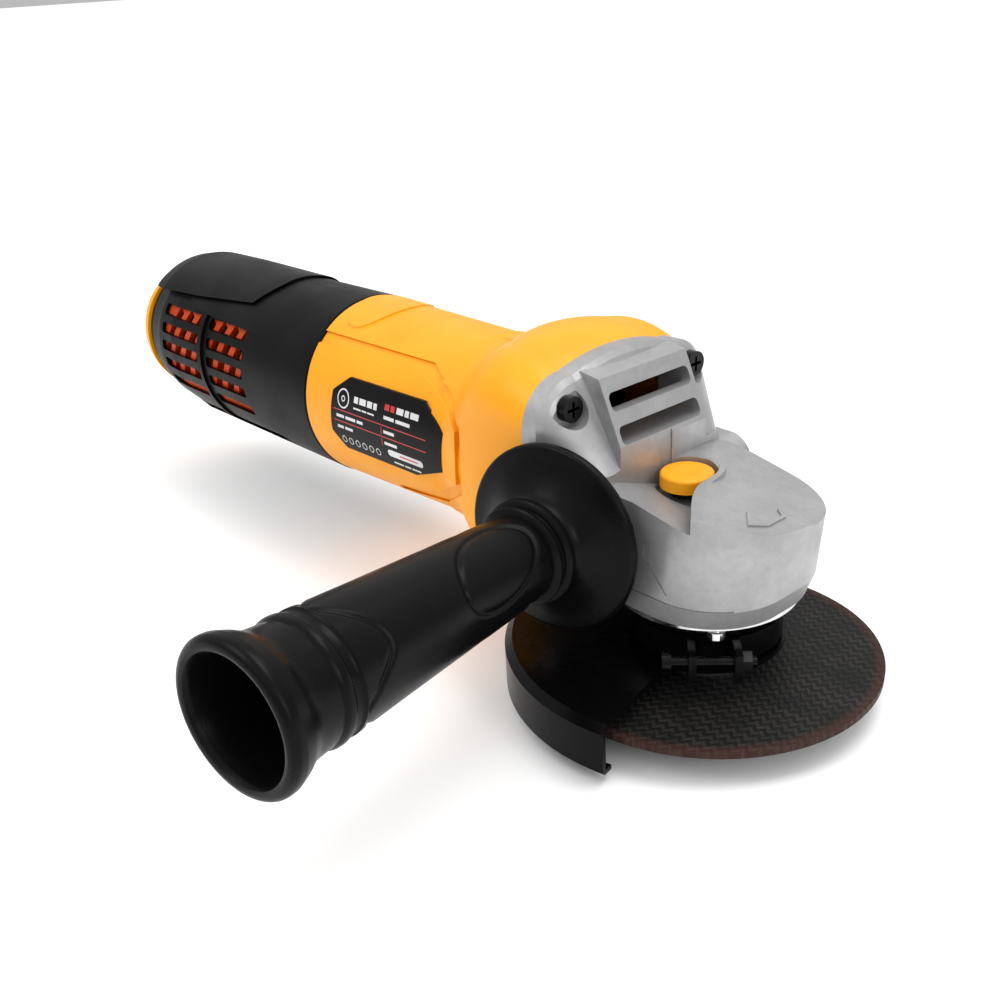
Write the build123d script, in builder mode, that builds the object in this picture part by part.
from build123d import *
import os
from math import acos, cos, pi, radians, sin, sqrt, tan

# 100 mm angle grinder. Millimetres.
# Origin: centre of the spindle's threaded end face. +Z runs up the spindle, +X from the
# motor housing towards the gear head, and the side handle points to -Y.

# ---- driving dimensions -------------------------------------------------------------
disc_radius = 50.0
disc_thickness = 2.0
disc_height = 10.0            # disc mid-plane above the spindle's end face
disc_bore_radius = 8.0
thread_radius = 5.0           # M10 spindle thread
spindle_radius = 6.0
motor_height = 59.0           # motor axis above the spindle's end face
gear_teeth = 41
pinion_teeth = 12
gear_pitch_radius = 21.0      # at the outer ends of the teeth
tooth_face = 3.0
housing_front = -37.0         # joint between gear case and motor housing
housing_rear = -149.4         # joint between motor housing and rear cover
cover_rear = -278.0
barrel_front_radius = 30.0
barrel_rear_radius = 31.6
barrel_wall = 2.6
flange_half_width = 34.0
flange_top = 36.0
flange_bottom = 34.0
neck_radius = 18.3            # bearing cap neck that carries the guard
guard_radius = 57.8
guard_skirt = 14.0
guard_sheet = 1.5
guard_span = 180.0
handle_length = 112.7
handle_tilt = 9.7             # handle leans forward, degrees from the cross axis
handle_rise = 2.3             # and up, in degrees
handle_flange_radius = 25.7
handle_thread_radius = 4.0    # M8 handle stud
slider_travel = 6.0
button_travel = 3.2

# ---- clearances ---------------------------------------------------------------------
running = 0.04                # radial, between a turning shaft and its bearing
sliding = 0.3                 # around a part that slides or turns freely
assembly = 0.1                # between parts that are assembled and stay put

# ---- derived places -----------------------------------------------------------------
disc_top = disc_height + disc_thickness / 2
disc_bottom = disc_height - disc_thickness / 2
flange_seat = disc_top + 6.0              # spindle shoulder that stops the inner flange
guard_plate_top = disc_height + 8.2
neck_bottom = guard_plate_top + 0.3
cap_plate_bottom = motor_height - 27.5
cap_plate_top = cap_plate_bottom + 2.0
lower_bearing_bottom = cap_plate_bottom - 9.5
lower_bearing_width = 10.0
lower_bearing_radius = 16.0
lower_bearing_top = lower_bearing_bottom + lower_bearing_width
pinion_pitch_radius = gear_pitch_radius * pinion_teeth / gear_teeth
tooth_module = 2 * gear_pitch_radius / gear_teeth
tooth_shrink = 1 - tooth_face / gear_pitch_radius    # inner end of a tooth, seen from the apex
gear_pitch_height = motor_height - pinion_pitch_radius
gear_root_height = gear_pitch_height - 1.25 * tooth_module
pinion_front = -gear_pitch_radius * tooth_shrink
web_top = motor_height - 12.0
web_bottom = web_top - 5.5
lock_hole_distance = 8.0
lock_pin_radius = 1.8
button_x = -lock_hole_distance
pocket_floor = motor_height - 2.0
ceiling = pocket_floor - 2.0
head_bottom = cap_plate_top
head_opening = gear_pitch_radius + 0.6
boss_x = -23.6
boss_height = motor_height - 6.4
boss_face = 34.6

MOTOR_AXIS = Axis((0, 0, motor_height), (1, 0, 0))
MOTOR_SECTION = Plane(origin=(0, 0, motor_height), x_dir=(1, 0, 0), z_dir=(0, -1, 0))

os.makedirs("parts", exist_ok=True)


# ---- shared outlines ----------------------------------------------------------------
def motor_plane(x):
    """Plane across the motor axis at x, facing forward: local x is +Y, local y is +Z."""
    return Plane(origin=(x, 0, motor_height), x_dir=(0, 1, 0), z_dir=(1, 0, 0))


def turned(*points, plane=Plane.XZ):
    """Closed profile for a turned part, as (along, out) points in the given plane."""
    with BuildSketch(plane) as profile:
        with BuildLine():
            Polyline(*points, close=True)
        make_face()
    return profile.sketch


def spindle_turned(*points):
    """Turned profile about the spindle axis, points as (radius, height)."""
    return turned(*points)


def motor_turned(*points):
    """Turned profile about the motor axis, points as (x, radius)."""
    return turned(*points, plane=MOTOR_SECTION)


def case_outline(x, half_width, top, bottom, corner, arch):
    """Rounded square across the motor axis, its top side arched by the given height."""
    shoulder = top - arch
    bend = corner * (1 - sqrt(0.5))
    with BuildSketch(motor_plane(x)) as outline:
        with BuildLine():
            Line((-half_width + corner, -bottom), (half_width - corner, -bottom))
            ThreePointArc((half_width - corner, -bottom), (half_width - bend, -bottom + bend),
                          (half_width, -bottom + corner))
            Line((half_width, -bottom + corner), (half_width, shoulder - corner))
            ThreePointArc((half_width, shoulder - corner), (half_width - bend, shoulder - bend),
                          (half_width - corner, shoulder))
            ThreePointArc((half_width - corner, shoulder), (0, top), (-half_width + corner, shoulder))
            ThreePointArc((-half_width + corner, shoulder), (-half_width + bend, shoulder - bend),
                          (-half_width, shoulder - corner))
            Line((-half_width, shoulder - corner), (-half_width, -bottom + corner))
            ThreePointArc((-half_width, -bottom + corner), (-half_width + bend, -bottom + bend),
                          (-half_width + corner, -bottom))
        make_face()
    return outline.sketch


def round_outline(x, radius):
    """A circle across the motor axis, drawn with the same edges as case_outline."""
    flat = 2.0
    return case_outline(x, radius, radius, radius, radius - flat, radius - sqrt(radius**2 - flat**2))


# ---- grinding disc and its clamping --------------------------------------------------
with BuildPart() as grinding_disc:
    with BuildSketch(Plane.XY.offset(disc_bottom)):
        Circle(disc_radius)
        Circle(disc_bore_radius, mode=Mode.SUBTRACT)
    extrude(amount=disc_thickness)
grinding_disc.part.label = "grinding_disc"
export_step(grinding_disc.part, "parts/grinding_disc.step")

flange_radius = 15.0
with BuildPart() as inner_flange:
    revolve(spindle_turned((thread_radius, disc_bottom + 0.4), (disc_bore_radius, disc_bottom + 0.4),
                           (disc_bore_radius, disc_top), (flange_radius, disc_top),
                           (flange_radius, disc_top + 2.0), (10.0, disc_top + 3.4),
                           (9.0, flange_seat), (thread_radius, flange_seat)), axis=Axis.Z)
inner_flange.part.label = "inner_flange"
export_step(inner_flange.part, "parts/inner_flange.step")

nut_radius = 14.5
nut_bottom = disc_bottom - 5.0
with BuildPart() as flange_nut:
    revolve(spindle_turned((thread_radius, nut_bottom), (nut_radius - 3.5, nut_bottom),
                           (nut_radius, nut_bottom + 2.0), (nut_radius, disc_bottom),
                           (thread_radius, disc_bottom)), axis=Axis.Z)
    with BuildSketch(Plane.XY.offset(nut_bottom)):
        with PolarLocations(8.6, 4):
            Circle(1.6)
    extrude(amount=3.4, mode=Mode.SUBTRACT)
flange_nut.part.label = "flange_nut"
export_step(flange_nut.part, "parts/flange_nut.step")

# ---- spindle -------------------------------------------------------------------------
journal_radius = 4.0
journal_top = ceiling - 0.3
key_width = 3.0
key_bottom = lower_bearing_top + 2.0
key_top = web_bottom + 3.0
with BuildPart() as spindle:
    revolve(spindle_turned((0, 0), (thread_radius, 0), (thread_radius, nut_bottom),
                           (thread_radius - 0.5, nut_bottom), (thread_radius - 0.5, nut_bottom + 0.6),
                           (thread_radius, nut_bottom + 0.6), (thread_radius, flange_seat),
                           (7.5, flange_seat),
                           (7.5, lower_bearing_bottom), (spindle_radius, lower_bearing_bottom),
                           (spindle_radius, web_top), (journal_radius, web_top + 0.5),
                           (journal_radius, journal_top), (0, journal_top)), axis=Axis.Z)
    with BuildSketch(Plane.XY.offset(key_bottom)):
        with Locations((spindle_radius, 0)):
            Rectangle(2 * 1.6, key_width)
    extrude(amount=key_top - key_bottom, mode=Mode.SUBTRACT)
spindle.part.label = "spindle"
export_step(spindle.part, "parts/spindle.step")

with BuildPart() as spindle_key:
    with BuildSketch(Plane.XY.offset(key_bottom)):
        with Locations((spindle_radius, 0)):
            Rectangle(2 * 1.6, key_width)
    extrude(amount=key_top - key_bottom)
spindle_key.part.label = "spindle_key"
export_step(spindle_key.part, "parts/spindle_key.step")


# ---- bevel gears ---------------------------------------------------------------------
def gear_tooth(scale):
    """Section of one gear tooth on the plane x = -pitch radius * scale, shrunk to the apex."""
    half_pitch = pi * tooth_module / 4 - 0.09
    slope = tan(radians(20))
    tip = 0.62 * tooth_module
    root = 1.25 * tooth_module + 0.5
    plane = Plane(origin=(-gear_pitch_radius * scale, 0, motor_height), x_dir=(0, 1, 0), z_dir=(1, 0, 0))
    pitch_line = -pinion_pitch_radius
    with BuildSketch(plane) as section:
        with BuildLine():
            Polyline(((-half_pitch - slope * root) * scale, (pitch_line - root) * scale),
                     ((half_pitch + slope * root) * scale, (pitch_line - root) * scale),
                     ((half_pitch - slope * tip) * scale, (pitch_line + tip) * scale),
                     ((-half_pitch + slope * tip) * scale, (pitch_line + tip) * scale), close=True)
        make_face()
    return section.sketch


def pinion_section(scale):
    """Section of the whole pinion on the plane x = -pitch radius * scale, involute flanks."""
    base = pinion_pitch_radius * cos(radians(20))
    tip = pinion_pitch_radius + tooth_module
    root = pinion_pitch_radius - 0.87 * tooth_module
    half_at_pitch = pi / (2 * pinion_teeth) - 0.09 / pinion_pitch_radius
    flank_at_pitch = tan(radians(20)) - radians(20)

    def half_angle(radius):
        pressure = acos(min(1.0, base / radius))
        return half_at_pitch + flank_at_pitch - (tan(pressure) - pressure)

    outline = []
    for tooth in range(pinion_teeth):
        middle = -pi / 2 + (tooth + 0.5) * 2 * pi / pinion_teeth
        radii = [root, (root + pinion_pitch_radius) / 2, pinion_pitch_radius,
                 (pinion_pitch_radius + tip) / 2, tip]
        for radius in radii:
            angle = middle - half_angle(max(radius, base))
            outline.append((radius * scale * cos(angle), radius * scale * sin(angle)))
        for radius in reversed(radii):
            angle = middle + half_angle(max(radius, base))
            outline.append((radius * scale * cos(angle), radius * scale * sin(angle)))
    plane = Plane(origin=(-gear_pitch_radius * scale, 0, motor_height), x_dir=(0, 1, 0), z_dir=(1, 0, 0))
    with BuildSketch(plane) as section:
        with BuildLine():
            Polyline(*outline, close=True)
        make_face()
    return section.sketch


inner_root_height = motor_height - (motor_height - gear_root_height) * tooth_shrink
inner_root_radius = gear_pitch_radius * tooth_shrink
with BuildPart() as one_tooth:
    loft([gear_tooth(1.0), gear_tooth(tooth_shrink)], ruled=True)
with BuildPart() as bevel_gear:
    revolve(spindle_turned((spindle_radius, lower_bearing_top + 0.2), (8.0, lower_bearing_top + 0.2),
                           (8.0, web_bottom - 1.0), (14.0, web_bottom),
                           (gear_pitch_radius - 2.0, web_bottom + 1.5),
                           (gear_pitch_radius, gear_root_height - 1.2),
                           (gear_pitch_radius, gear_root_height),
                           (inner_root_radius, inner_root_height), (inner_root_radius - 0.6, web_top),
                           (spindle_radius, web_top)), axis=Axis.Z)
    with PolarLocations(0, gear_teeth):
        add(one_tooth.part)
    with BuildSketch(Plane.XY.offset(web_bottom - 2)):
        with PolarLocations(lock_hole_distance, 4):
            Circle(lock_pin_radius + 0.5)
    extrude(amount=web_top - web_bottom + 4, mode=Mode.SUBTRACT)
    with BuildSketch(Plane.XY.offset(key_bottom)):
        with Locations((spindle_radius, 0)):
            Rectangle(2 * 1.6, key_width)
    extrude(amount=key_top - key_bottom, mode=Mode.SUBTRACT)
bevel_gear.part.label = "bevel_gear"
export_step(bevel_gear.part, "parts/bevel_gear.step")

pinion_bore_radius = 2.6
pinion_back = -gear_pitch_radius - 3.2
with BuildPart() as pinion:
    loft([pinion_section(1.0), pinion_section(tooth_shrink)], ruled=True)
    with BuildSketch(motor_plane(pinion_back)):
        Circle(pinion_pitch_radius - 0.9)
    extrude(amount=-gear_pitch_radius - pinion_back)
    with BuildSketch(motor_plane(pinion_back)):
        Circle(pinion_bore_radius)
    extrude(amount=10, mode=Mode.SUBTRACT)
pinion.part.label = "pinion"
export_step(pinion.part, "parts/pinion.step")


# ---- ball bearings -------------------------------------------------------------------
def ball_bearing(plane, bore_radius, outer_radius, width):
    """Inner ring, outer ring, balls and two shields as separate solids, from plane along its normal."""
    wall = (outer_radius - bore_radius) * 0.26
    pitch = (outer_radius + bore_radius) / 2
    ball = (outer_radius - bore_radius) / 2 - wall - 0.02
    count = int(pi * pitch / (ball * 1.25))
    with BuildPart() as bearing:
        with BuildSketch(plane):
            Circle(outer_radius)
            Circle(outer_radius - wall, mode=Mode.SUBTRACT)
            Circle(bore_radius + wall)
            Circle(bore_radius + running, mode=Mode.SUBTRACT)
        extrude(amount=width)
        with Locations(plane.offset(width / 2)):
            with PolarLocations(pitch, count):
                Sphere(ball)
    return bearing.part


lower_bearing = ball_bearing(Plane.XY.offset(lower_bearing_bottom), spindle_radius, lower_bearing_radius,
                             lower_bearing_width)
lower_bearing.label = "lower_bearing"
export_step(lower_bearing, "parts/lower_bearing.step")

bush_outer_radius = 5.8
with BuildPart() as upper_bush:
    with BuildSketch(Plane.XY.offset(web_top + 1.5)):
        Circle(bush_outer_radius)
        Circle(journal_radius + running, mode=Mode.SUBTRACT)
    extrude(amount=ceiling - web_top - 1.5)
upper_bush.part.label = "upper_bush"
export_step(upper_bush.part, "parts/upper_bush.step")

# ---- bearing cap with its neck -------------------------------------------------------
cap_radius = 25.6
cap_screw_distance = 23.7
with BuildPart() as bearing_cap:
    revolve(spindle_turned((9.5, neck_bottom), (neck_radius - 0.8, neck_bottom),
                           (neck_radius, neck_bottom + 0.8), (neck_radius, cap_plate_bottom - 3.6),
                           (21.0, cap_plate_bottom - 3.0), (22.0, cap_plate_bottom - 1.0),
                           (cap_radius - 0.6, cap_plate_bottom), (cap_radius, cap_plate_bottom + 0.6),
                           (cap_radius, cap_plate_top), (head_opening, cap_plate_top),
                           (head_opening, cap_plate_top + 2.5), (lower_bearing_radius, cap_plate_top + 2.5),
                           (lower_bearing_radius, lower_bearing_bottom), (9.5, lower_bearing_bottom)),
            axis=Axis.Z)
    with BuildSketch(Plane.XY.offset(cap_plate_bottom - 4)):
        with PolarLocations(cap_screw_distance, 4, start_angle=45):
            Circle(3.0)
    extrude(amount=4.0, mode=Mode.SUBTRACT)
    with BuildSketch(Plane.XY.offset(cap_plate_bottom - 1)):
        with PolarLocations(cap_screw_distance, 4, start_angle=45):
            Circle(1.5)
    extrude(amount=6.0, mode=Mode.SUBTRACT)
bearing_cap.part.label = "bearing_cap"
export_step(bearing_cap.part, "parts/bearing_cap.step")

with BuildPart() as cap_screws:
    with PolarLocations(cap_screw_distance, 4, start_angle=45):
        with Locations((0, 0, cap_plate_bottom - 2.0)):
            Cylinder(2.6, 2.0, align=(Align.CENTER, Align.CENTER, Align.MIN))
            Cylinder(1.0, 1.0, align=(Align.CENTER, Align.CENTER, Align.MIN), mode=Mode.SUBTRACT)
        with Locations((0, 0, cap_plate_bottom)):
            Cylinder(1.5, 10.0, align=(Align.CENTER, Align.CENTER, Align.MIN))
cap_screws.part.label = "cap_screws"
export_step(cap_screws.part, "parts/cap_screws.step")

with BuildPart() as dust_seal:
    with BuildSketch(Plane.XY.offset(neck_bottom + 0.6)):
        Circle(9.5)
        Circle(7.5 + sliding, mode=Mode.SUBTRACT)
    extrude(amount=2.4)
dust_seal.part.label = "dust_seal"
export_step(dust_seal.part, "parts/dust_seal.step")

# ---- gear case -----------------------------------------------------------------------
flange_depth = 7.0
flange_front = housing_front + flange_depth
case_screw_radius = 2.0
panel_half_width = 17.5
vent_length = 32.0
vent_height = 4.8
lean = 0.444                  # the vent panel leans back, x per z
panel_x = -22.4               # panel surface on the centre line, at panel_z
panel_z = motor_height + 28.6
front_bearing_radius = 13.0
front_bearing_width = 8.0
vent_levels = (26.2, 17.7)    # vent centres above the motor axis
panel_wall = 3.2
air_floor = 16.0
air_roof = 31.0
case_screw_places = ((-24.9, 25.8), (24.9, 25.8), (-24.9, -24.9), (24.9, -24.9))
case_screw_seat = housing_front + 8.0
handle_thread_depth = 14.0
pocket_radius = 8.6
pocket_front = button_x + pocket_radius
panel_foot_z = motor_height + 14.0        # below this the panel stands upright
plate_height = motor_height + 6.06        # the head's top plate over the spindle axis
plate_tilt = (-0.223, -0.159)
# plan lines of the fin that stands between the lock button's pocket and the nose
fin_inside = ((-2.6, 6.0), (pocket_front, 0.0), (1.0, -5.0), (3.4, -11.0), (8.2, -17.9), (14.2, -25.4))
fin_outside = ((-0.9, 7.6), (2.3, 0.6), (2.9, -4.6), (5.2, -10.2), (10.0, -16.9), (16.0, -24.6))
# height, front, half width and corner radius of the head's plan sections
head_levels = ((head_bottom, 25.8, 25.6, 22.0), (head_bottom + 6.0, 27.6, 26.2, 21.5),
               (motor_height + 1.0, 28.9, 26.6, 21.0), (motor_height + 8.5, 28.2, 26.0, 20.0))


def panel_at(height):
    """x of the vent panel's outer surface on the centre line at this height."""
    return panel_x + lean * (panel_z - height)


panel_foot_x = panel_at(panel_foot_z)
ramp_back = panel_foot_x - 0.5


def head_outline(height, front, half_width, corner):
    """Rounded plan section of the gear head, from inside the body to its nose."""
    back = -26.0
    with BuildSketch(Plane.XY.offset(height)) as outline:
        with Locations(((front + back) / 2, 0)):
            RectangleRounded(front - back, 2 * half_width, corner)
    return outline.sketch


def side_tilt(side):
    """Plane at the side handle's seat, its normal along the handle axis; side is -1 or +1."""
    tilt = radians(handle_tilt)
    rise = radians(handle_rise)
    outward = Vector(sin(tilt) * cos(rise), side * cos(tilt) * cos(rise), sin(rise))
    across = Vector(0, 0, 1) - outward * outward.Z
    return Plane(origin=(boss_x, side * boss_face, boss_height), x_dir=across, z_dir=outward)


def above(outline, bottom, tilt):
    """Solid over a plan outline, above the plane z = bottom + tilt[0] * x + tilt[1] * y."""
    with BuildPart() as block:
        extrude(Plane.XY.offset(motor_height - 10) * outline, amount=40)
        split(bisect_by=Plane(origin=(0, 0, bottom), z_dir=(-tilt[0], -tilt[1], 1)), keep=Keep.TOP)
    return block.part


# plan outlines on the head's top
with BuildSketch() as head_top:
    with Locations(((panel_foot_x + 36.0) / 2, 0)):
        Rectangle(36.0 - panel_foot_x, 76.0)
with BuildSketch() as pocket_ramp:
    with BuildLine():
        Polyline(fin_inside[0], (button_x, fin_inside[0][1]), (button_x, 3.0), (ramp_back, 3.0),
                 (ramp_back, -40), (24.0, -40), fin_inside[-1])
        Spline(*reversed(fin_inside))
    make_face()
with BuildSketch() as fin_plan:
    with BuildLine():
        Spline(*fin_inside)
        Line(fin_inside[-1], fin_outside[-1])
        Spline(*reversed(fin_outside))
        Line(fin_outside[0], fin_inside[0])
    make_face()
with BuildSketch() as valley_plan:
    with BuildLine():
        Spline(*fin_outside)
        Polyline(fin_outside[-1], (20.0, -32.0), (34.0, -28.7), fin_outside[0])
    make_face()

with BuildPart() as fin:
    extrude(Plane.XY.offset(ceiling + 1) * fin_plan.sketch, amount=16)
    split(bisect_by=Plane(origin=(0, 0, motor_height + 6.4), z_dir=(0, -0.11, 1)), keep=Keep.BOTTOM)
plate = Plane(origin=(0, 0, plate_height), x_dir=(1, 0, plate_tilt[0]),
              z_dir=(-plate_tilt[0], -plate_tilt[1], 1))
with BuildPart() as hook:
    with BuildSketch(plate.offset(-0.5)):
        with BuildLine():
            hook_line = Polyline((18.0, -7.0), (22.5, -12.6), (24.6, -8.0), (23.6, 1.0), (20.6, 3.2))
        trace(hook_line, 1.0)
    extrude(amount=1.0)
with BuildPart() as ramp:
    extrude(Plane.XY.offset(pocket_floor) * pocket_ramp.sketch, amount=25)
    split(bisect_by=Plane(origin=(button_x, -4.0, pocket_floor + 1.0), z_dir=(0.19, 0.355, 1)),
          keep=Keep.TOP)

with BuildPart() as gear_case:
    # rear flange and the body that narrows towards the head
    extrude(case_outline(housing_front, flange_half_width, flange_top, flange_bottom, 14, 3),
            amount=flange_depth - 1.5)
    loft([case_outline(flange_front - 1.5, flange_half_width, flange_top, flange_bottom, 14, 3),
          case_outline(flange_front, flange_half_width - 1.5, flange_top - 1.5, flange_bottom - 1.5,
                       12.5, 3)], ruled=True)
    loft([case_outline(flange_front, flange_half_width - 1.5, flange_top - 1.5, flange_bottom - 1.5,
                       12.5, 3),
          case_outline(panel_foot_x - 0.5, 25.0, 10.0, motor_height - head_bottom, 8, 1)], ruled=True)
    # upright panel for the vents
    with BuildSketch(Plane.XZ.offset(-panel_half_width)):
        with BuildLine():
            Polyline((housing_front + 3, motor_height + flange_top - 2.5),
                     (flange_front - 0.5, motor_height + flange_top - 2.5),
                     (panel_at(motor_height + 32.5), motor_height + 32.5),
                     (panel_foot_x, panel_foot_z), (panel_foot_x, motor_height + 6),
                     (housing_front + 3, motor_height + 6), close=True)
        make_face()
    extrude(amount=2 * panel_half_width)
    # round head
    for lower, upper in zip(head_levels, head_levels[1:]):
        loft([head_outline(*lower), head_outline(*upper)], ruled=True)
    # the head's top: level behind the button, then a plate that falls to the right of a ridge,
    # and on the ridge's left a valley and a thin fin
    add(above(head_top.sketch, motor_height + 6.2, (0, 0)), mode=Mode.SUBTRACT)
    add(above(head_top.sketch, plate_height, plate_tilt), mode=Mode.SUBTRACT)
    add(above(valley_plan.sketch, motor_height + 3.9, (0.18, 0.244)), mode=Mode.SUBTRACT)
    add(fin.part)
    # bosses for the side handle, one on each side
    for side in (-1, 1):
        with BuildSketch(Plane.XZ.offset(-side * 18)):
            with Locations((boss_x + 2.0, boss_height - 0.5)):
                RectangleRounded(24, 25, 8)
        extrude(amount=-side * (boss_face - 3.6 - 18))
        with BuildSketch(side_tilt(side).offset(-10)):
            Circle(10.5)
        extrude(amount=10)
    # groove round the head's foot
    with BuildSketch(Plane.XY.offset(head_bottom + 6.0)):
        with Locations((5.0, 0)):
            RectangleRounded(60.0, 60.0, 25)
            Rectangle(36.0, 70.0, mode=Mode.INTERSECT)
        add(head_outline(head_bottom + 6.0, 27.3, 25.9, 21.2), mode=Mode.SUBTRACT)
    extrude(amount=0.6, mode=Mode.SUBTRACT)
    # raised hook on the nose and an engraved line on the left wall
    add(hook.part)
    with BuildSketch(Plane.XZ.offset(25.9)):
        with BuildLine():
            side_line = Polyline((0.2, 53.7), (-0.2, 51.3), (7.6, 42.1))
        trace(side_line, 0.7)
    extrude(amount=3.0, mode=Mode.SUBTRACT)
    # room for the bearing cap under the head
    with BuildSketch(Plane.XY.offset(head_bottom - 14)):
        Circle(cap_radius + 1.0)
    extrude(amount=14, mode=Mode.SUBTRACT)
    # gear chamber, open at the bottom, with the upper bush's boss left standing in its ceiling
    with BuildSketch(Plane.XY.offset(head_bottom)):
        Circle(head_opening)
    extrude(amount=ceiling - head_bottom, mode=Mode.SUBTRACT)
    with BuildSketch(Plane.XY.offset(web_top + 1.5)):
        Circle(bush_outer_radius + 1.6)
    extrude(amount=ceiling - web_top - 1)
    with BuildSketch(Plane.XY.offset(web_top + 1)):
        Circle(bush_outer_radius)
    extrude(amount=ceiling - web_top - 1, mode=Mode.SUBTRACT)
    # front bearing seat and the pinion's tunnel
    with BuildSketch(motor_plane(housing_front)):
        Circle(front_bearing_radius)
    extrude(amount=front_bearing_width, mode=Mode.SUBTRACT)
    with BuildSketch(motor_plane(housing_front)):
        Circle(pinion_pitch_radius + tooth_module + 1.0)
    extrude(amount=pinion_front + 0.4 - housing_front, mode=Mode.SUBTRACT)
    # air chamber between the bearing seat and the vent panel, and an annular recess around the seat
    with BuildSketch(Plane.XZ.offset(-panel_half_width + 1.5)):
        with BuildLine():
            Polyline((housing_front - 1, motor_height + air_floor),
                     (panel_at(motor_height + air_floor) - panel_wall, motor_height + air_floor),
                     (panel_at(motor_height + air_roof) - panel_wall, motor_height + air_roof),
                     (housing_front - 1, motor_height + air_roof), close=True)
        make_face()
    extrude(amount=2 * (panel_half_width - 1.5), mode=Mode.SUBTRACT)
    with BuildSketch(motor_plane(housing_front)):
        Circle(28.5)
        Circle(front_bearing_radius + 2.5, mode=Mode.SUBTRACT)
    extrude(amount=4.5, mode=Mode.SUBTRACT)
    # exhaust vents
    for vent_level in vent_levels:
        with BuildSketch(motor_plane(housing_front + 6)):
            with Locations((0, vent_level)):
                RectangleRounded(vent_length, vent_height, 1.6)
        extrude(amount=30, mode=Mode.SUBTRACT)
    # case screw holes and their pockets
    for across, up in case_screw_places:
        with BuildSketch(motor_plane(housing_front)):
            with Locations((across, up)):
                Circle(case_screw_radius + assembly)
        extrude(amount=20, mode=Mode.SUBTRACT)
        with BuildSketch(motor_plane(case_screw_seat)):
            with Locations((across, up)):
                Circle(5.2)
        extrude(amount=14 if up > 0 else 7, mode=Mode.SUBTRACT)
    # handle threads
    for side in (-1, 1):
        with BuildSketch(side_tilt(side)):
            Circle(handle_thread_radius)
        extrude(amount=-handle_thread_depth, mode=Mode.SUBTRACT)
    # bearing cap screws
    with BuildSketch(Plane.XY.offset(head_bottom)):
        with PolarLocations(cap_screw_distance, 4, start_angle=45):
            Circle(1.5)
    extrude(amount=9.0, mode=Mode.SUBTRACT)
    # lock button pocket: a round well, open towards -Y over a floor that slopes down to it
    with BuildSketch(Plane.XY.offset(pocket_floor)):
        with Locations((button_x, 0)):
            Circle(pocket_radius)
    extrude(amount=20, mode=Mode.SUBTRACT)
    add(ramp.part, mode=Mode.SUBTRACT)
    with BuildSketch(Plane.XY.offset(web_top)):
        with Locations((button_x, 0)):
            Circle(lock_pin_radius + sliding)
    extrude(amount=20, mode=Mode.SUBTRACT)
gear_case.part.label = "gear_case"
export_step(gear_case.part, "parts/gear_case.step")

with BuildPart() as case_screws:
    for across, up in case_screw_places:
        with BuildSketch(motor_plane(case_screw_seat)):
            with Locations((across, up)):
                Circle(3.6)
        extrude(amount=2.8)
        with BuildSketch(motor_plane(case_screw_seat - 25)):
            with Locations((across, up)):
                Circle(case_screw_radius)
        extrude(amount=25)
        with BuildSketch(motor_plane(case_screw_seat + 1.0)):
            with Locations((across, up)):
                Rectangle(4.4, 0.9)
                Rectangle(0.9, 4.4)
        extrude(amount=3, mode=Mode.SUBTRACT)
case_screws.part.label = "case_screws"
export_step(case_screws.part, "parts/case_screws.step")

# ---- spindle lock --------------------------------------------------------------------
button_radius = 7.5
button_bottom = pocket_floor + button_travel + 0.3
button_top = button_bottom + 4.0
button_hollow = 5.8
spring_mean_radius = 4.7
spring_wire = 0.5
with BuildPart() as lock_button:
    with BuildSketch(Plane.XY.offset(button_bottom)):
        with Locations((button_x, 0)):
            Circle(button_radius)
    extrude(amount=button_top - button_bottom)
    fillet(lock_button.edges().group_by(Axis.Z)[-1], 0.9)
    with BuildSketch(Plane.XY.offset(button_bottom)):
        with Locations((button_x, 0)):
            Circle(button_hollow)
    extrude(amount=2.4, mode=Mode.SUBTRACT)
    with BuildSketch(Plane.XY.offset(button_bottom)):
        with Locations((button_x, 0)):
            Circle(lock_pin_radius)
    extrude(amount=3.2, mode=Mode.SUBTRACT)
    with Locations((button_x, 0, button_top + 15.6)):
        Sphere(16.0, mode=Mode.SUBTRACT)
lock_button.part.label = "lock_button"
export_step(lock_button.part, "parts/lock_button.step")

with BuildPart() as lock_pin:
    with BuildSketch(Plane.XY.offset(web_top + 0.8)):
        with Locations((button_x, 0)):
            Circle(lock_pin_radius)
    extrude(amount=button_bottom + 3.2 - web_top - 0.8)
lock_pin.part.label = "lock_pin"
export_step(lock_pin.part, "parts/lock_pin.step")

spring_bottom = pocket_floor + spring_wire + 0.05
spring_top = button_bottom + 2.4 - spring_wire - 0.05
with BuildPart() as lock_spring:
    with BuildLine() as coil:
        Helix(pitch=(spring_top - spring_bottom) / 3, height=spring_top - spring_bottom,
              radius=spring_mean_radius, center=(button_x, 0, spring_bottom))
    with BuildSketch(Plane(origin=coil.line @ 0, z_dir=coil.line % 0)):
        Circle(spring_wire)
    sweep()
lock_spring.part.label = "lock_spring"
export_step(lock_spring.part, "parts/lock_spring.step")

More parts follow.
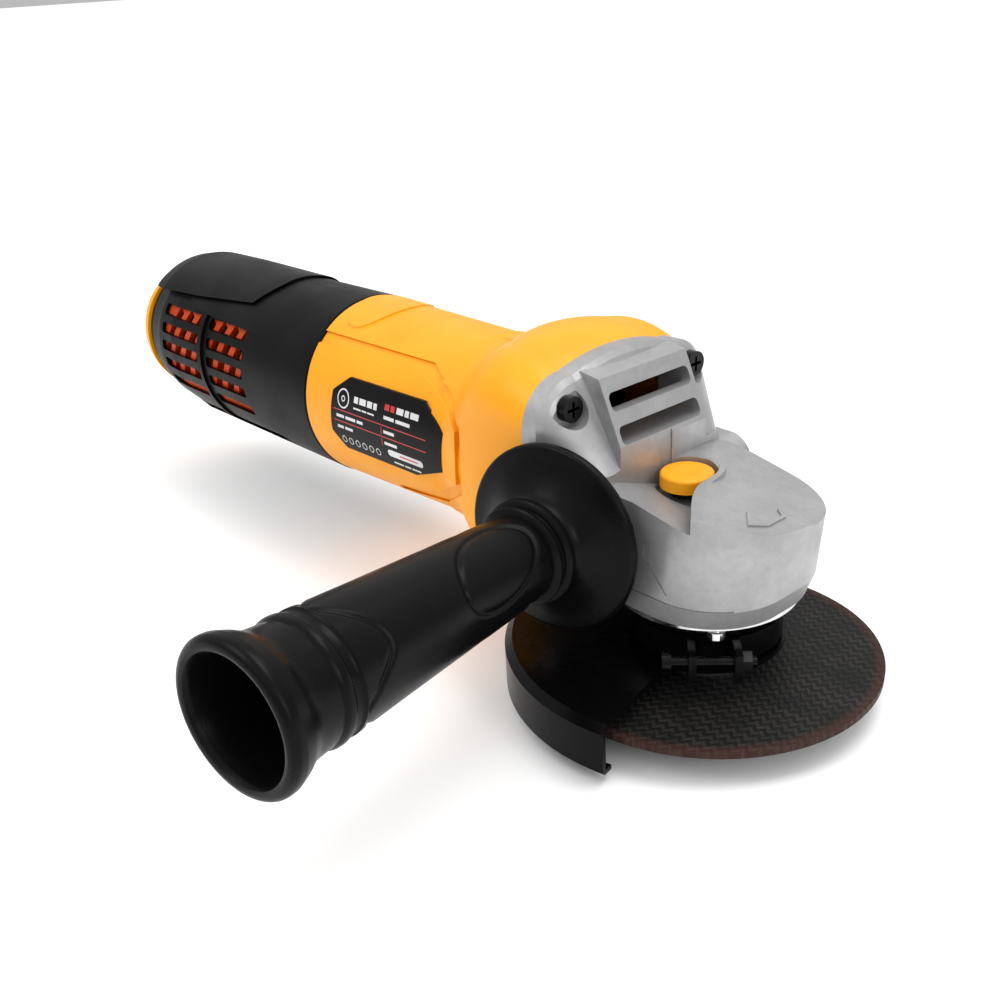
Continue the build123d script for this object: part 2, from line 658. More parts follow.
# ---- side handle ---------------------------------------------------------------------
grip_gap = 1.0
stud_depth = handle_thread_depth - 1.0
stud_reach = 38.0
insert_radius = 7.0
insert_depth = 8.0
mouth_radius = 15.2
handle_seat = side_tilt(-1)
handle_line = Axis(handle_seat.origin, handle_seat.z_dir)
handle_section = Plane(origin=handle_seat.origin, x_dir=handle_seat.z_dir, z_dir=handle_seat.y_dir)
h = handle_length / 112.7     # stretches the grip's outline along its axis
with BuildPart() as handle_grip:
    with BuildSketch(handle_section):
        with BuildLine():
            Polyline((grip_gap, 0), (grip_gap, handle_flange_radius - 0.8),
                     (grip_gap + 0.8, handle_flange_radius),
                     (grip_gap + 2.2, handle_flange_radius), (grip_gap + 3.0, handle_flange_radius - 0.8))
            Spline((grip_gap + 3.0, handle_flange_radius - 0.8), (6.5, 18.2), (9.0, 14.6), (11.5, 13.3))
            Polyline((11.5, 13.3), (12.2, 14.6), (14.0, 14.6), (14.8, 12.8), (15.8, 12.8), (16.3, 13.7),
                     (17.6, 13.7), (18.2, 11.6))
            Spline((18.2, 11.6), (30 * h, 12.6), (48 * h, 13.5), (72 * h, 14.7), (89 * h, 15.7))
            Polyline((89 * h, 15.7), (90 * h, 15.0), (91.6 * h, 15.0), (92.4 * h, 16.0), (94.6 * h, 16.0),
                     (95.6 * h, 15.3))
            Spline((95.6 * h, 15.3), (102 * h, 16.0), (106 * h, 17.8), (109 * h, 18.9))
            Spline((109 * h, 18.9), (111.8 * h, 18.4), (112.7 * h, 16.8))
            Polyline((112.7 * h, 16.8), (112.4 * h, 15.8), (111.4 * h, mouth_radius),
                     (104 * h, mouth_radius - 1.4))
            Spline((104 * h, mouth_radius - 1.4), (80 * h, 11.9), (52 * h, 10.4))
            Polyline((52 * h, 10.4), (48 * h, 9.0), (48 * h, 0), (grip_gap, 0))
        make_face()
    revolve(axis=handle_line)
    with BuildSketch(handle_seat):
        Circle(handle_thread_radius)
    extrude(amount=stud_reach, mode=Mode.SUBTRACT)
    with BuildSketch(handle_seat.offset(stud_reach - insert_depth)):
        RegularPolygon(insert_radius, 6)
    extrude(amount=insert_depth, mode=Mode.SUBTRACT)
handle_grip.part.label = "handle_grip"
export_step(handle_grip.part, "parts/handle_grip.step")

with BuildPart() as handle_stud:
    with BuildSketch(handle_seat.offset(-stud_depth)):
        Circle(handle_thread_radius)
    extrude(amount=stud_depth + stud_reach)
    with BuildSketch(handle_seat.offset(stud_reach - insert_depth)):
        RegularPolygon(insert_radius, 6)
    extrude(amount=insert_depth)
handle_stud.part.label = "handle_stud"
export_step(handle_stud.part, "parts/handle_stud.step")

# ---- guard ---------------------------------------------------------------------------
guard_start = 103.0           # plan angle where the guard's skirt begins
collar_wall = 1.6
collar_bore = neck_radius + running
collar_top = cap_plate_bottom - 3.9
band_wall = 1.6
band_outer = collar_bore + collar_wall + band_wall
clamp_angle = -46.0
lug_gap = 10.0
lug_thickness = 2.0
lug_reach = 9.0
clamp_standoff = 4.5          # clamp screw's head stands off its lug


def upright_plane(angle):
    """Plane through the spindle axis at this plan angle: local x is outward, local y is up."""
    turn = radians(angle)
    return Plane(origin=(0, 0, 0), x_dir=(cos(turn), sin(turn), 0), z_dir=(sin(turn), -cos(turn), 0))


skirt_bottom = guard_plate_top - guard_skirt - guard_sheet + 0.1
with BuildPart() as guard:
    revolve(turned((collar_bore + 4.0, guard_plate_top - guard_sheet),
                   (guard_radius - guard_sheet - 1.5, guard_plate_top - guard_sheet),
                   (guard_radius - guard_sheet, guard_plate_top - guard_sheet - 1.5),
                   (guard_radius - guard_sheet, skirt_bottom + guard_sheet),
                   (guard_radius - 4.2, skirt_bottom + 1.4), (guard_radius - 4.2, skirt_bottom),
                   (guard_radius - 1.0, skirt_bottom), (guard_radius, skirt_bottom + 1.0),
                   (guard_radius, guard_plate_top - 2.2), (guard_radius - 2.2, guard_plate_top),
                   (collar_bore + 4.0, guard_plate_top), plane=upright_plane(guard_start)),
            axis=Axis.Z, revolution_arc=guard_span)
    with BuildSketch(Plane.XY.offset(guard_plate_top - guard_sheet)):
        Circle(collar_bore + 4.0)
        Circle(collar_bore, mode=Mode.SUBTRACT)
    extrude(amount=guard_sheet)
    with BuildSketch(Plane.XY.offset(guard_plate_top)):
        Circle(collar_bore + collar_wall)
        Circle(collar_bore, mode=Mode.SUBTRACT)
    extrude(amount=collar_top - guard_plate_top)
guard.part.label = "guard"
export_step(guard.part, "parts/guard.step")

lug_plane = Plane(origin=(0, 0, 0), x_dir=(cos(radians(clamp_angle)), sin(radians(clamp_angle)), 0),
                  z_dir=(0, 0, 1))
band_bottom = guard_plate_top + 1.2
band_top = collar_top - 0.4
lug_middle = (band_bottom + band_top) / 2
with BuildPart() as guard_band:
    with BuildSketch(lug_plane.offset(band_bottom)):
        Circle(band_outer)
        with Locations((band_outer + lug_reach / 2 - 1, 0)):
            Rectangle(lug_reach + 2, lug_gap + 2 * lug_thickness)
        Circle(collar_bore + collar_wall, mode=Mode.SUBTRACT)
        with Locations((band_outer + lug_reach / 2 - 1, 0)):
            Rectangle(lug_reach + 12, lug_gap, mode=Mode.SUBTRACT)
    extrude(amount=band_top - band_bottom)
    clamp_plane = Plane(origin=lug_plane.location.position + lug_plane.x_dir * (band_outer + lug_reach - 4.0)
                        + Vector(0, 0, lug_middle), x_dir=(0, 0, 1), z_dir=lug_plane.y_dir)
    with BuildSketch(clamp_plane.offset(-lug_gap)):
        Circle(1.6 + assembly)
    extrude(amount=2 * lug_gap, mode=Mode.SUBTRACT)
guard_band.part.label = "guard_band"
export_step(guard_band.part, "parts/guard_band.step")

lug_outside = lug_gap / 2 + lug_thickness
clamp_head = -lug_outside - clamp_standoff - 2.4
with BuildPart() as clamp_screw:
    with BuildSketch(clamp_plane.offset(clamp_head)):
        Circle(3.0)
    extrude(amount=2.4)
    with BuildSketch(clamp_plane.offset(clamp_head)):
        Circle(1.6)
    extrude(amount=lug_outside + 4.0 - clamp_head)
    with BuildSketch(clamp_plane.offset(clamp_head)):
        Rectangle(5.0, 0.8)
    extrude(amount=1.0, mode=Mode.SUBTRACT)
clamp_screw.part.label = "clamp_screw"
export_step(clamp_screw.part, "parts/clamp_screw.step")

with BuildPart() as clamp_nut:
    with BuildSketch(clamp_plane.offset(lug_outside)):
        RegularPolygon(3.2, 6)
        Circle(1.6, mode=Mode.SUBTRACT)
    extrude(amount=2.6)
clamp_nut.part.label = "clamp_nut"
export_step(clamp_nut.part, "parts/clamp_nut.step")

# screws that hold the rear cover: one into the motor housing's spigot, one into the inner housing
cover_radius = 31.9
cover_screw_places = (-155.0, -250.0)
cover_screw_radius = 1.4
cover_screw_head = 2.6
cover_screw_seat = 30.3       # distance of the head's underside from the motor axis
cover_screw_length = 3.0


def cover_screw_holes(radius, start, end):
    """Cuts a hole along each cover screw, between two distances below the motor axis."""
    with BuildSketch(Plane.XY.offset(motor_height - start)) as holes:
        for x in cover_screw_places:
            with Locations((x, 0)):
                Circle(radius)
    extrude(holes.sketch, amount=start - end, mode=Mode.SUBTRACT)


# ---- motor housing -------------------------------------------------------------------
barrel_bore = barrel_front_radius - barrel_wall + 0.6
flare_start = -84.0
fan_bore = 30.0
spigot_radius = 29.2
spigot_length = 10.6
slider_slot_front = -126.0
slider_slot_length = 9.0 + slider_travel + 2 * sliding
slider_neck = 4.0
label_front = -77.0
label_rear = -135.0
label_low = motor_height - 9.5
label_high = motor_height + 15.0
band_high = motor_height + 24.6
patch_rise = 0.5
with BuildPart() as label_plate:
    revolve(motor_turned((label_rear - 5, 31.2), (label_rear - 5, 31.9), (label_front + 5, 30.7),
                         (label_front + 5, 30.0)), axis=MOTOR_AXIS)
    with BuildSketch(Plane.XZ.offset(10)):
        with BuildLine():
            Polyline((label_rear + 1.5, label_high - 5), (label_rear + 9, label_high),
                     (label_front - 11, label_high), (label_front, label_high - 7),
                     (label_front - 1, label_low + 5), (label_front - 15, label_low),
                     (label_rear + 6, label_low), (label_rear, label_low + 5.5), close=True)
        make_face()
    extrude(amount=40, mode=Mode.INTERSECT)
label_plate.part.label = "label_plate"
export_step(label_plate.part, "parts/label_plate.step")

band_depth = 0.7
with BuildPart() as side_band:
    # a recessed band that frames the label's side, cut into both sides
    with BuildSketch(Plane.XZ.offset(-40)):
        with BuildLine():
            Polyline((housing_rear - 1, band_high - 3.3), (housing_rear - 1, band_high),
                     (label_front - 15.3, band_high - 0.6), (-65.3, motor_height + 13.6),
                     (-66.5, motor_height - 8), (-85, motor_height - 18.8), (-114, motor_height - 23.5),
                     (-112, motor_height - 20.6), (-87.7, motor_height - 15.4), (-70, motor_height - 6),
                     (-68.6, motor_height + 11.2), (label_front - 15, band_high - 4.4), close=True)
        make_face()
    extrude(amount=80)
    revolve(motor_turned((housing_rear - 2, 0), (housing_rear - 2, barrel_rear_radius - band_depth),
                         (flare_start, barrel_front_radius - band_depth), (-71.0, 31.4 - band_depth),
                         (-61.0, 33.2 - band_depth), (-61.0, 0)), axis=MOTOR_AXIS, mode=Mode.SUBTRACT)
with BuildPart() as top_patch:
    # low raised patch on top, next to the rear cover
    with BuildSketch(Plane.XY.offset(motor_height)):
        with Locations((-138.0, 0)):
            Ellipse(10.5, 16.5)
    extrude(amount=40)
    revolve(motor_turned((housing_rear, 0), (housing_rear, barrel_rear_radius + patch_rise),
                         (flare_start, barrel_front_radius + patch_rise), (flare_start, 0)), axis=MOTOR_AXIS,
            mode=Mode.INTERSECT)
    revolve(motor_turned((housing_rear, 0), (housing_rear, barrel_rear_radius - 1),
                         (flare_start, barrel_front_radius - 1), (flare_start, 0)), axis=MOTOR_AXIS,
            mode=Mode.SUBTRACT)

with BuildPart() as motor_housing:
    revolve(motor_turned((housing_rear, 0), (housing_rear, barrel_rear_radius),
                         (flare_start, barrel_front_radius), (flare_start, 0)), axis=MOTOR_AXIS)
    loft([round_outline(flare_start, barrel_front_radius), case_outline(-71.0, 31.6, 32.6, 31.4, 26, 1.4),
          case_outline(-61.0, 33.4, 37.6, 33.2, 18, 2.6), case_outline(-51.0, 34.2, 39.4, 34.0, 15, 3),
          case_outline(housing_front, flange_half_width, flange_top, flange_bottom, 14, 3)])
    with BuildSketch(motor_plane(housing_rear - spigot_length)):
        Circle(spigot_radius)
    extrude(amount=spigot_length)
    with BuildSketch(motor_plane(housing_rear - spigot_length)):
        Circle(barrel_bore - 1.2)
    extrude(amount=spigot_length, mode=Mode.SUBTRACT)
    with BuildSketch(motor_plane(housing_rear)):
        Circle(barrel_bore)
    extrude(amount=-64.0 - housing_rear, mode=Mode.SUBTRACT)
    with BuildSketch(motor_plane(-64.0)):
        Circle(fan_bore)
    extrude(amount=housing_front + 64.0, mode=Mode.SUBTRACT)
    with BuildSketch(motor_plane(housing_front)):
        for across, up in case_screw_places:
            with Locations((across, up)):
                Circle(case_screw_radius)
    extrude(amount=-18.5, mode=Mode.SUBTRACT)
    with BuildSketch(Plane.XZ.offset(-20)):
        with Locations((slider_slot_front - slider_slot_length / 2, motor_height)):
            Rectangle(slider_slot_length, slider_neck + 2 * sliding)
    extrude(amount=-20, mode=Mode.SUBTRACT)
    add(label_plate.part, mode=Mode.SUBTRACT)
    add(side_band.part, mode=Mode.SUBTRACT)
    add(top_patch.part)
    cover_screw_holes(cover_screw_radius, cover_screw_seat, cover_screw_seat - 8)
motor_housing.part.label = "motor_housing"
export_step(motor_housing.part, "parts/motor_housing.step")


# ---- armature ------------------------------------------------------------------------
core_front = -78.0
core_rear = -122.0
core_radius = 14.0
commutator_front = -140.0
commutator_rear = -156.0
commutator_radius = 10.0
shaft_radius = 5.0
rear_journal_radius = 3.5
rear_bearing_rear = -176.0
rear_bearing_width = 6.0
rear_bearing_radius = 9.5
fan_radius = 26.5
fan_front = -47.0
fan_rear = -60.0
with BuildPart() as armature_shaft:
    revolve(motor_turned((pinion_front - 0.6, 0), (pinion_front - 0.6, pinion_bore_radius),
                         (pinion_back, pinion_bore_radius), (pinion_back, 4.0), (pinion_back - 2.0, 4.0),
                         (pinion_back - 2.0, shaft_radius), (commutator_rear - 3, shaft_radius),
                         (commutator_rear - 3, rear_journal_radius),
                         (rear_bearing_rear - 1.5, rear_journal_radius),
                         (rear_bearing_rear - 1.5, 0)), axis=MOTOR_AXIS)
armature_shaft.part.label = "armature_shaft"
export_step(armature_shaft.part, "parts/armature_shaft.step")

with BuildPart() as armature_core:
    with BuildSketch(motor_plane(core_rear)):
        Circle(core_radius)
        Circle(shaft_radius, mode=Mode.SUBTRACT)
        with PolarLocations(core_radius - 2.4, 12):
            SlotOverall(4.2, 2.4, mode=Mode.SUBTRACT)
        with PolarLocations(core_radius, 12):
            Rectangle(2.0, 1.0, mode=Mode.SUBTRACT)
    extrude(amount=core_front - core_rear)
armature_core.part.label = "armature_core"
export_step(armature_core.part, "parts/armature_core.step")

with BuildPart() as armature_windings:
    with BuildSketch(motor_plane(core_rear)):
        with PolarLocations(core_radius - 2.4, 12):
            SlotOverall(4.0, 2.2)
    extrude(amount=core_front - core_rear)
    revolve(motor_turned((core_front, shaft_radius), (core_front, 13.2), (core_front + 3, 13.0),
                         (core_front + 6, 10.0), (core_front + 7, shaft_radius)), axis=MOTOR_AXIS)
    revolve(motor_turned((core_rear, shaft_radius), (core_rear, 13.2), (core_rear - 5, 13.0),
                         (core_rear - 11, 9.5), (commutator_front, 9.0), (commutator_front, shaft_radius)),
            axis=MOTOR_AXIS)
armature_windings.part.label = "armature_windings"
export_step(armature_windings.part, "parts/armature_windings.step")

with BuildPart() as commutator:
    with BuildSketch(motor_plane(commutator_rear)):
        Circle(commutator_radius)
        Circle(shaft_radius, mode=Mode.SUBTRACT)
        with PolarLocations(commutator_radius, 24):
            Rectangle(1.6, 0.5, mode=Mode.SUBTRACT)
    extrude(amount=commutator_front - commutator_rear)
commutator.part.label = "commutator"
export_step(commutator.part, "parts/commutator.step")

with BuildPart() as fan:
    revolve(motor_turned((fan_rear, shaft_radius), (fan_rear, fan_radius), (fan_rear + 1.6, fan_radius),
                         (fan_rear + 3.0, 12.0), (fan_front, 9.0), (fan_front, shaft_radius)),
            axis=MOTOR_AXIS)
    with BuildSketch(motor_plane(fan_rear + 1.0)):
        with PolarLocations(17.0, 14):
            with Locations(Location((0, 0), 28)):
                Rectangle(15.0, 1.4)
    extrude(amount=fan_front - fan_rear - 3.0)
    with BuildSketch(motor_plane(fan_rear - 1)):
        Circle(fan_radius + 10)
        Circle(fan_radius, mode=Mode.SUBTRACT)
    extrude(amount=20, mode=Mode.SUBTRACT)
fan.part.label = "fan"
export_step(fan.part, "parts/fan.step")

front_bearing = ball_bearing(motor_plane(housing_front), shaft_radius, front_bearing_radius,
                             front_bearing_width)
front_bearing.label = "front_bearing"
export_step(front_bearing, "parts/front_bearing.step")
rear_bearing = ball_bearing(motor_plane(rear_bearing_rear), rear_journal_radius, rear_bearing_radius,
                            rear_bearing_width)
rear_bearing.label = "rear_bearing"
export_step(rear_bearing, "parts/rear_bearing.step")

sleeve_wall = 1.5
with BuildPart() as bearing_sleeve:
    with BuildSketch(motor_plane(rear_bearing_rear)):
        Circle(rear_bearing_radius + sleeve_wall)
        Circle(rear_bearing_radius, mode=Mode.SUBTRACT)
    extrude(amount=rear_bearing_width)
bearing_sleeve.part.label = "bearing_sleeve"
export_step(bearing_sleeve.part, "parts/bearing_sleeve.step")

# ---- stator --------------------------------------------------------------------------
stator_radius = barrel_bore - assembly
stator_bore = core_radius + 0.6
stator_flat = 23.4
window_out = 22.0


def sector(plane, inner, outer, start, end):
    """Part of a ring between two angles, measured from the plane's local x."""
    def at(radius, angle):
        return (radius * cos(radians(angle)), radius * sin(radians(angle)))

    middle = (start + end) / 2
    with BuildSketch(plane) as ring:
        with BuildLine():
            Line(at(inner, start), at(outer, start))
            ThreePointArc(at(outer, start), at(outer, middle), at(outer, end))
            Line(at(outer, end), at(inner, end))
            ThreePointArc(at(inner, end), at(inner, middle), at(inner, start))
        make_face()
    return ring.sketch


core_length = core_front - core_rear
with BuildPart() as stator_core:
    with BuildSketch(motor_plane(core_rear)):
        Circle(stator_radius)
        Rectangle(2 * stator_flat, 4 * stator_radius, mode=Mode.INTERSECT)
        Circle(stator_bore, mode=Mode.SUBTRACT)
    extrude(amount=core_length)
    for turn in (0, 180):
        for start, end in ((5, 45), (135, 175)):
            extrude(sector(motor_plane(core_rear), stator_bore - 1, window_out, start + turn, end + turn),
                    amount=core_length, mode=Mode.SUBTRACT)
stator_core.part.label = "stator_core"
export_step(stator_core.part, "parts/stator_core.step")

coil_inside = stator_bore + 0.6
coil_outside = window_out - assembly
with BuildPart() as field_coils:
    for turn in (0, 180):
        for start, end in ((6, 44), (136, 174)):
            extrude(sector(motor_plane(core_rear), coil_inside, coil_outside, start + turn, end + turn),
                    amount=core_length)
        for x in (core_rear - 7.0, core_front):
            extrude(sector(motor_plane(x), coil_inside, coil_outside, 6 + turn, 174 + turn), amount=7.0)
field_coils.part.label = "field_coils"
export_step(field_coils.part, "parts/field_coils.step")

baffle_rear = -68.5
with BuildPart() as air_baffle:
    with BuildSketch(motor_plane(baffle_rear)):
        Circle(barrel_bore - assembly)
        Circle(20.0, mode=Mode.SUBTRACT)
    extrude(amount=2.0)
air_baffle.part.label = "air_baffle"
export_step(air_baffle.part, "parts/air_baffle.step")

# ---- brush gear ----------------------------------------------------------------------
bridge_radius = barrel_bore - 1.2 - assembly
brush_x = (commutator_front + commutator_rear) / 2
brush_width = 8.0
brush_depth = 5.0
brush_length = 10.0
holder_bottom = commutator_radius + 1.6
holder_top = 25.0
rod_half_height = 1.8
rod_low = 24.4
rod_high = 26.0
bridge_rear = rear_bearing_rear - 1.6
bridge_front = rear_bearing_rear + rear_bearing_width + 1.0
with BuildPart() as bearing_bridge:
    with BuildSketch(motor_plane(bridge_rear)):
        Circle(bridge_radius)
        Circle(bridge_radius - 2.4, mode=Mode.SUBTRACT)
        Circle(rear_bearing_radius + sleeve_wall + 2.0)
        Rectangle(7.0, 2 * bridge_radius - 2)
        Rectangle(2 * bridge_radius - 2, 7.0)
        Circle(rear_bearing_radius + sleeve_wall, mode=Mode.SUBTRACT)
    extrude(amount=bridge_front - bridge_rear)
    with BuildSketch(motor_plane(bridge_rear)):
        Circle(rear_bearing_radius + sleeve_wall)
    extrude(amount=1.6 - 0.1)
    with BuildSketch(motor_plane(bridge_rear)):
        Circle(rear_journal_radius + 1.5)
    extrude(amount=3, mode=Mode.SUBTRACT)
    with BuildSketch(motor_plane(bridge_rear)):
        with Locations((bridge_radius, 0)):
            Rectangle(2 * (bridge_radius - rod_low + 0.6), 2 * rod_half_height + 1.2)
    extrude(amount=bridge_front - bridge_rear, mode=Mode.SUBTRACT)
    # arms that carry the brush holders forward
    for side in (-1, 1):
        with BuildSketch(motor_plane(bridge_front)):
            with Locations((0, side * (holder_top + 0.2))):
                Rectangle(8.0, 1.6)
        extrude(amount=brush_x + 6.0 - bridge_front)
bearing_bridge.part.label = "bearing_bridge"
export_step(bearing_bridge.part, "parts/bearing_bridge.step")

with BuildPart() as brush_holders:
    for side in (-1, 1):
        with BuildSketch(Plane.XY.offset(motor_height + side * holder_bottom)):
            with Locations((brush_x, 0)):
                Rectangle(brush_width + 3.0, brush_depth + 3.0)
                Rectangle(brush_width + 2 * assembly, brush_depth + 2 * assembly, mode=Mode.SUBTRACT)
        extrude(amount=side * (holder_top - holder_bottom - 0.6))
brush_holders.part.label = "brush_holders"
export_step(brush_holders.part, "parts/brush_holders.step")

with BuildPart() as carbon_brushes:
    for side in (-1, 1):
        with BuildSketch(Plane.XY.offset(motor_height + side * (commutator_radius + 0.3))):
            with Locations((brush_x, 0)):
                Rectangle(brush_width, brush_depth)
        extrude(amount=side * brush_length)
carbon_brushes.part.label = "carbon_brushes"
export_step(carbon_brushes.part, "parts/carbon_brushes.step")

spring_wire_radius = 0.35
brush_spring_start = commutator_radius + 0.3 + brush_length + spring_wire_radius + 0.05
brush_spring_end = holder_top - 0.8 - spring_wire_radius
with BuildPart() as brush_springs:
    for side in (-1, 1):
        with BuildLine() as brush_coil:
            Helix(pitch=0.95, height=brush_spring_end - brush_spring_start, radius=1.6,
                  center=(brush_x, 0, motor_height + side * brush_spring_start), direction=(0, 0, side))
        with BuildSketch(Plane(origin=brush_coil.line @ 0, z_dir=brush_coil.line % 0)):
            Circle(spring_wire_radius)
        sweep(path=brush_coil.line)
brush_springs.part.label = "brush_springs"
export_step(brush_springs.part, "parts/brush_springs.step")

# ---- rear handle: inner housing, end cap and outer cover ------------------------------
inner_front = housing_rear - spigot_length - 0.2
inner_rear = -262.0
inner_radius = spigot_radius - 0.1
inner_wall = 2.3
cover_bore = spigot_radius + 0.2
slat_rise = 30.0              # slope of the slats behind the intake slots, degrees
with BuildPart() as switch_housing:
    revolve(motor_turned((inner_front, inner_radius - inner_wall), (inner_front, inner_radius),
                         (inner_rear + 12, inner_radius), (inner_rear, inner_radius - 1.4),
                         (inner_rear, inner_radius - 1.4 - inner_wall),
                         (inner_rear + 12, inner_radius - inner_wall)), axis=MOTOR_AXIS)
    with BuildSketch(Plane.XZ.offset(-40)):
        with Locations(Location((-225.0, motor_height + 3.0))):
            with GridLocations(8.6, 1, 8, 1):
                with Locations(Location((0, 0), -slat_rise)):
                    Rectangle(4.2, 32.0)
    extrude(amount=80, mode=Mode.SUBTRACT)
    cover_screw_holes(cover_screw_radius, cover_screw_seat, cover_screw_seat - 8)
switch_housing.part.label = "switch_housing"
export_step(switch_housing.part, "parts/switch_housing.step")

cord_radius = 4.2
cap_face = cover_rear - 8.0
cap_spigot_radius = 24.0
end_cap_radius = 26.6
gland_flange = 6.6
with BuildPart() as rear_end_cap:
    revolve(motor_turned((inner_rear - 0.2, cap_spigot_radius - 2.2), (inner_rear - 0.2, cap_spigot_radius),
                         (cover_rear - 0.4, cap_spigot_radius - 1.2), (cover_rear - 0.4, end_cap_radius),
                         (cover_rear - 4.0, end_cap_radius - 0.6), (cap_face + 1.4, end_cap_radius - 3.4),
                         (cap_face, end_cap_radius - 6.5), (cap_face, 0), (cap_face + 3.0, 0),
                         (cap_face + 3.0, cap_spigot_radius - 4.6), (cover_rear, cap_spigot_radius - 3.4)),
            axis=MOTOR_AXIS)
    with BuildSketch(motor_plane(cap_face)):
        Circle(gland_flange - 1.0)
    extrude(amount=6, mode=Mode.SUBTRACT)
rear_end_cap.part.label = "rear_end_cap"
export_step(rear_end_cap.part, "parts/rear_end_cap.step")

with BuildPart() as cord_gland:
    revolve(motor_turned((cap_face - 1.4, cord_radius), (cap_face - 1.4, gland_flange),
                         (cap_face - 0.05, gland_flange),
                         (cap_face - 0.05, gland_flange - 1.1), (cap_face + 3.1, gland_flange - 1.1),
                         (cap_face + 3.1, gland_flange), (cap_face + 4.5, gland_flange - 0.6),
                         (cap_face + 4.5, cord_radius)), axis=MOTOR_AXIS)
cord_gland.part.label = "cord_gland"
export_step(cord_gland.part, "parts/cord_gland.step")

slot_height = 4.0
slot_levels = (16.0, 9.3, 2.4, -4.8, -12.5)
slot_columns = ((-259.0, -228.5), (-221.5, -194.5))
pad_rise = 1.3                # raised pad along the cover's top
field_step = 0.5              # each of the two steps down to the intake field
field_front = -185.8          # where the field's edge crosses the motor's height

with BuildPart() as top_pad:
    # raised pad along the top, with a slanting front end
    with BuildSketch(Plane.XZ.offset(-40)):
        with BuildLine():
            Polyline((cover_rear - 4, motor_height + 22.4), (-231.9, motor_height + 24.4),
                     (-198.0, motor_height + 26.4), (-192.5, motor_height + 31.5),
                     (-192.5, motor_height + 42),
                     (cover_rear - 4, motor_height + 42), close=True)
        make_face()
    extrude(amount=80)
    revolve(motor_turned((-190.0, 28.0), (-190.0, cover_radius + pad_rise - 0.5),
                         (-240.0, cover_radius + pad_rise), (-262.0, cover_radius + pad_rise - 0.2),
                         (-270.0, cover_radius + pad_rise - 1.6), (-275.5, cover_radius - 2.6),
                         (cover_rear, cover_radius - 5.6), (cover_rear, 24.0)), axis=MOTOR_AXIS,
            mode=Mode.INTERSECT)


def intake_field(edge, depth):
    """What is cut from the cover's sides to lower the intake field, behind a curved edge."""
    with BuildPart() as field:
        with BuildSketch(Plane.XZ.offset(-40)):
            with BuildLine():
                ThreePointArc((edge - 2.4, motor_height + 18.0), (edge, motor_height - 2.0),
                              (edge + 9.0, motor_height - 26.0))
                Polyline((edge + 9.0, motor_height - 26.0), (cover_rear - 4, motor_height - 26.0),
                         (cover_rear - 4, motor_height + 22.4), (-240.5, motor_height + 22.2),
                         (-236.3, motor_height + 19.6), (edge - 2.4, motor_height + 18.0))
            make_face()
            with Locations((-225.0, motor_height - 4)):
                Rectangle(2.0, 60.0, mode=Mode.SUBTRACT)
        extrude(amount=80)
        revolve(cover_profile(depth), axis=MOTOR_AXIS, mode=Mode.SUBTRACT)
    return field.part


def cover_profile(inset):
    """The rear cover's outer profile, moved in by the given depth."""
    radius = cover_radius - inset
    return motor_turned((housing_rear, 0), (housing_rear, radius - 0.4), (housing_rear - 1.0, radius),
                        (-250.0, radius - 0.3), (-262.0, radius - 1.4), (-271.0, radius - 3.4),
                        (cover_rear, radius - 5.6), (cover_rear, 0))


with BuildPart() as rear_cover:
    revolve(cover_profile(0), axis=MOTOR_AXIS)
    add(top_pad.part)
    add(intake_field(field_front, field_step), mode=Mode.SUBTRACT)
    add(intake_field(field_front - 5.0, 2 * field_step), mode=Mode.SUBTRACT)
    revolve(motor_turned((housing_rear + 1, 0), (housing_rear + 1, cover_bore), (-248.0, cover_bore),
                         (-262.0, cover_bore - 1.3), (-271.0, cover_bore - 3.2),
                         (cover_rear - 1, cap_spigot_radius), (cover_rear - 1, 0)), axis=MOTOR_AXIS,
            mode=Mode.SUBTRACT)
    with BuildSketch(Plane.XZ.offset(-40)):
        for rear, front in slot_columns:
            for level in slot_levels:
                with Locations(((rear + front) / 2, motor_height + level)):
                    RectangleRounded(front - rear, slot_height, 1.2)
    extrude(amount=80, mode=Mode.SUBTRACT)
    cover_screw_holes(cover_screw_radius + assembly, cover_screw_seat, cover_screw_seat - 4)
    cover_screw_holes(cover_screw_head + 0.2, cover_radius + 4, cover_screw_seat)
rear_cover.part.label = "rear_cover"
export_step(rear_cover.part, "parts/rear_cover.step")

# ---- slide switch --------------------------------------------------------------------
slider_inside = barrel_rear_radius + sliding
slider_front = slider_slot_front + 4.0 - slider_travel
slider_length = 26.0
neck_front = slider_slot_front - sliding - slider_travel
with BuildPart() as switch_slider:
    extrude(sector(motor_plane(slider_front - slider_length), slider_inside, slider_inside + 3.0, -13, 13),
            amount=slider_length)
    fillet(switch_slider.faces().sort_by(Axis.Y)[-1].edges(), 1.0)
    for ridge in range(5):
        with BuildSketch(motor_plane(slider_front - 6.0 - 3.6 * ridge)):
            with Locations((slider_inside + 3.3, 0)):
                Rectangle(1.4, 10.0)
        extrude(amount=1.5)
    with BuildSketch(Plane.XZ.offset(-rod_low)):
        with Locations((neck_front - 4.5, motor_height)):
            Rectangle(9.0, slider_neck)
    extrude(amount=-(slider_inside + 1.0 - rod_low))
switch_slider.part.label = "switch_slider"
export_step(switch_slider.part, "parts/switch_slider.step")

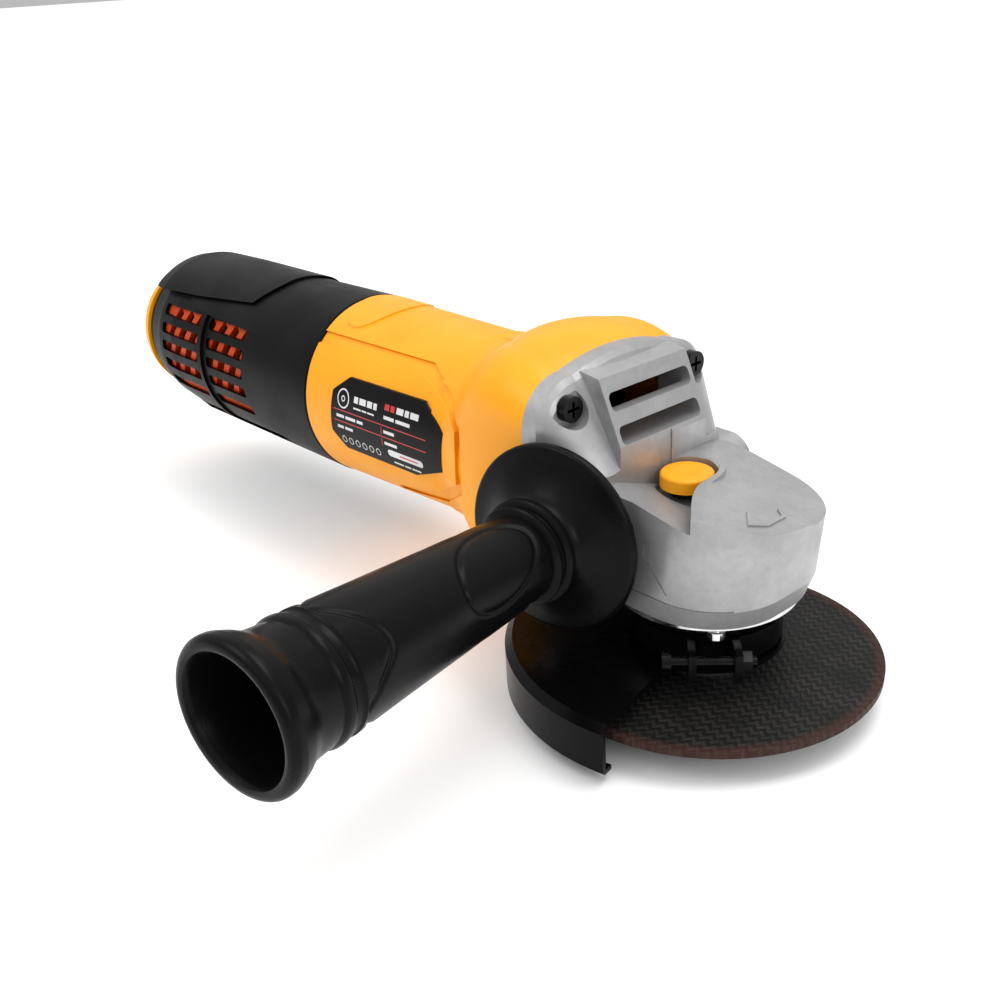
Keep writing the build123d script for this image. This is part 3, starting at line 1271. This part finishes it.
rod_rear = -206.0
with BuildPart() as switch_rod:
    with BuildSketch(Plane.XZ.offset(-rod_low)):
        with Locations(((neck_front + rod_rear) / 2 - 4.6, motor_height)):
            Rectangle(neck_front - rod_rear - 9.2, 2 * rod_half_height)
    extrude(amount=-(rod_high - rod_low))
    with BuildSketch(Plane.XZ.offset(-18.0)):
        with Locations((rod_rear + 1.5, motor_height)):
            Rectangle(3.0, 2 * rod_half_height)
    extrude(amount=-(rod_high - 18.0))
switch_rod.part.label = "switch_rod"
export_step(switch_rod.part, "parts/switch_rod.step")

switch_front = rod_rear - 8.0
with BuildPart() as switch_block:
    with BuildSketch(motor_plane(switch_front - 30.0)):
        with Locations((12.0, 0)):
            Rectangle(16.0, 20.0)
    extrude(amount=30.0)
    fillet(switch_block.edges().filter_by(Axis.X), 1.2)
switch_block.part.label = "switch_block"
export_step(switch_block.part, "parts/switch_block.step")

with BuildPart() as switch_lever:
    with BuildSketch(Plane.XZ.offset(-16.0)):
        with Locations((rod_rear - 3.2, motor_height)):
            Rectangle(6.4, 5.0)
    extrude(amount=-3.6)
switch_lever.part.label = "switch_lever"
export_step(switch_lever.part, "parts/switch_lever.step")

with BuildPart() as cord_clamp:
    with BuildSketch(motor_plane(cap_face + 10.0)):
        with Locations((0, cord_radius + 2.4)):
            Rectangle(22.0, 4.0)
    extrude(amount=7.0)
    with BuildSketch(motor_plane(cap_face + 10.0)):
        Circle(cord_radius + 1.0)
    extrude(amount=7.0, mode=Mode.SUBTRACT)
cord_clamp.part.label = "cord_clamp"
export_step(cord_clamp.part, "parts/cord_clamp.step")

with BuildPart() as cover_screws:
    for x in cover_screw_places:
        with BuildSketch(Plane.XY.offset(motor_height - cover_screw_seat - 1.4)):
            with Locations((x, 0)):
                Circle(cover_screw_head)
        extrude(amount=1.4)
        with BuildSketch(Plane.XY.offset(motor_height - cover_screw_seat)):
            with Locations((x, 0)):
                Circle(cover_screw_radius)
        extrude(amount=cover_screw_length)
        with BuildSketch(Plane.XY.offset(motor_height - cover_screw_seat - 1.4)):
            with Locations((x, 0)):
                Rectangle(3.4, 0.8)
                Rectangle(0.8, 3.4)
        extrude(amount=0.9, mode=Mode.SUBTRACT)
cover_screws.part.label = "cover_screws"
export_step(cover_screws.part, "parts/cover_screws.step")
